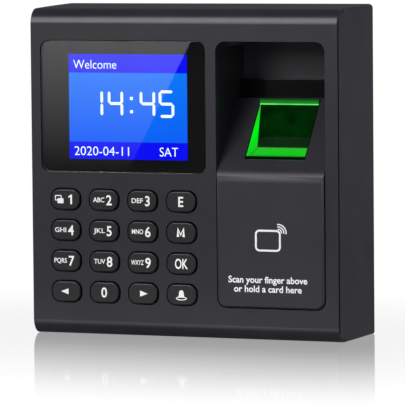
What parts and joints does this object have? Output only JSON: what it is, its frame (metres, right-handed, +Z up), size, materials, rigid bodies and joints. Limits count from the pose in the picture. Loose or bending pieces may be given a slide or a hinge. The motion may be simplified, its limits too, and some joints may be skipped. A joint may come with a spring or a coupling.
{
  "type": "fingerprint scanner terminal",
  "caption": "Square wall-mounted access terminal with a deep finger bay and lit prism, a card panel, a blue display behind a black window, a push-button keypad and a steel wall plate.",
  "frame": {"origin": "middle of the underside, halfway between the card panel's front and the wall", "axes": "+X to the user's right, +Y into the wall, +Z up; the front faces -Y"},
  "size_m": [0.1164, 0.036, 0.1161],
  "materials": {
    "case_plastic": "fine spark-eroded texture, dark charcoal",
    "key_plastic": "satin black",
    "window_glass": "clear acrylic, polished",
    "black_tape": "black print and adhesive",
    "display_glass": "lit display",
    "white_plastic": "white moulding",
    "bare_steel": "nickel plated",
    "flex_print": "flexible print, amber",
    "silicone": "grey silicone rubber",
    "circuit_board": "green solder mask",
    "chip_plastic": "black epoxy and nylon",
    "bare_aluminium": "bare can",
    "copper": "bare copper track",
    "prism_glass": "clear prism lit green from inside",
    "gloss_black": "polished black",
    "green_lamp": "clear lamp, lit",
    "red_plastic": "red nylon",
    "plate_steel": "zinc plated sheet"
  },
  "bodies": {
    "terminal": {"front_cover": "case_plastic", "rear_housing": "case_plastic", "window": "window_glass", "window_tape": "black_tape", "display_panel": "display_glass", "display_backlight": "white_plastic", "display_frame": "bare_steel", "display_flex": "flex_print", "keypad_mat": "silicone", "mainboard": "circuit_board", "mainboard_chips": "chip_plastic", "mainboard_capacitors": "bare_aluminium", "mainboard_connectors": "white_plastic", "mainboard_screws": "bare_steel", "coin_cell": "bare_steel", "cell_holder": "chip_plastic", "reader_insert": "case_plastic", "insert_screws": "bare_steel", "antenna_board": "circuit_board", "antenna_coil": "copper", "sensor_prism": "prism_glass", "sensor_hood": "gloss_black", "sensor_housing": "chip_plastic", "sensor_screws": "bare_steel", "sensor_led_board": "white_plastic", "sensor_leds": "green_lamp", "sensor_lens": "gloss_black", "sensor_camera_board": "circuit_board", "sensor_camera_chips": "chip_plastic", "sensor_ribbon": "white_plastic", "socket_board": "circuit_board", "socket_screws": "bare_steel", "usb_socket": "bare_steel", "power_socket": "chip_plastic", "wiring_header": "white_plastic", "tamper_switch": "chip_plastic", "speaker": "bare_steel", "speaker_cone": "black_tape", "housing_screws": "bare_steel", "wall_plate": "plate_steel", "lock_screw": "bare_steel"},
    "key_1": {"key_1": "key_plastic"},
    "key_2": {"key_2": "key_plastic"},
    "key_3": {"key_3": "key_plastic"},
    "key_exit": {"key_exit": "key_plastic"},
    "key_4": {"key_4": "key_plastic"},
    "key_5": {"key_5": "key_plastic"},
    "key_6": {"key_6": "key_plastic"},
    "key_menu": {"key_menu": "key_plastic"},
    "key_7": {"key_7": "key_plastic"},
    "key_8": {"key_8": "key_plastic"},
    "key_9": {"key_9": "key_plastic"},
    "key_ok": {"key_ok": "key_plastic"},
    "key_left": {"key_left": "key_plastic"},
    "key_0": {"key_0": "key_plastic"},
    "key_right": {"key_right": "key_plastic"},
    "key_bell": {"key_bell": "key_plastic"},
    "tamper_plunger": {"tamper_plunger": "red_plastic"}
  },
  "joints": [
    {"name": "key_1_press", "type": "slide", "parent": "terminal", "child": "key_1", "axis": [0, 1, 0], "range_m": [0, 0.0009], "stiffness_N_per_m": 700, "springref_m": -0.0006},
    {"name": "key_2_press", "type": "slide", "parent": "terminal", "child": "key_2", "axis": [0, 1, 0], "range_m": [0, 0.0009], "stiffness_N_per_m": 700, "springref_m": -0.0006},
    {"name": "key_3_press", "type": "slide", "parent": "terminal", "child": "key_3", "axis": [0, 1, 0], "range_m": [0, 0.0009], "stiffness_N_per_m": 700, "springref_m": -0.0006},
    {"name": "key_exit_press", "type": "slide", "parent": "terminal", "child": "key_exit", "axis": [0, 1, 0], "range_m": [0, 0.0009], "stiffness_N_per_m": 700, "springref_m": -0.0006},
    {"name": "key_4_press", "type": "slide", "parent": "terminal", "child": "key_4", "axis": [0, 1, 0], "range_m": [0, 0.0009], "stiffness_N_per_m": 700, "springref_m": -0.0006},
    {"name": "key_5_press", "type": "slide", "parent": "terminal", "child": "key_5", "axis": [0, 1, 0], "range_m": [0, 0.0009], "stiffness_N_per_m": 700, "springref_m": -0.0006},
    {"name": "key_6_press", "type": "slide", "parent": "terminal", "child": "key_6", "axis": [0, 1, 0], "range_m": [0, 0.0009], "stiffness_N_per_m": 700, "springref_m": -0.0006},
    {"name": "key_menu_press", "type": "slide", "parent": "terminal", "child": "key_menu", "axis": [0, 1, 0], "range_m": [0, 0.0009], "stiffness_N_per_m": 700, "springref_m": -0.0006},
    {"name": "key_7_press", "type": "slide", "parent": "terminal", "child": "key_7", "axis": [0, 1, 0], "range_m": [0, 0.0009], "stiffness_N_per_m": 700, "springref_m": -0.0006},
    {"name": "key_8_press", "type": "slide", "parent": "terminal", "child": "key_8", "axis": [0, 1, 0], "range_m": [0, 0.0009], "stiffness_N_per_m": 700, "springref_m": -0.0006},
    {"name": "key_9_press", "type": "slide", "parent": "terminal", "child": "key_9", "axis": [0, 1, 0], "range_m": [0, 0.0009], "stiffness_N_per_m": 700, "springref_m": -0.0006},
    {"name": "key_ok_press", "type": "slide", "parent": "terminal", "child": "key_ok", "axis": [0, 1, 0], "range_m": [0, 0.0009], "stiffness_N_per_m": 700, "springref_m": -0.0006},
    {"name": "key_left_press", "type": "slide", "parent": "terminal", "child": "key_left", "axis": [0, 1, 0], "range_m": [0, 0.0009], "stiffness_N_per_m": 700, "springref_m": -0.0006},
    {"name": "key_0_press", "type": "slide", "parent": "terminal", "child": "key_0", "axis": [0, 1, 0], "range_m": [0, 0.0009], "stiffness_N_per_m": 700, "springref_m": -0.0006},
    {"name": "key_right_press", "type": "slide", "parent": "terminal", "child": "key_right", "axis": [0, 1, 0], "range_m": [0, 0.0009], "stiffness_N_per_m": 700, "springref_m": -0.0006},
    {"name": "key_bell_press", "type": "slide", "parent": "terminal", "child": "key_bell", "axis": [0, 1, 0], "range_m": [0, 0.0009], "stiffness_N_per_m": 700, "springref_m": -0.0006},
    {"name": "tamper_press", "type": "slide", "parent": "terminal", "child": "tamper_plunger", "axis": [0, -1, 0], "range_m": [0, 0.0008], "stiffness_N_per_m": 500, "springref_m": -0.0008}
  ]
}
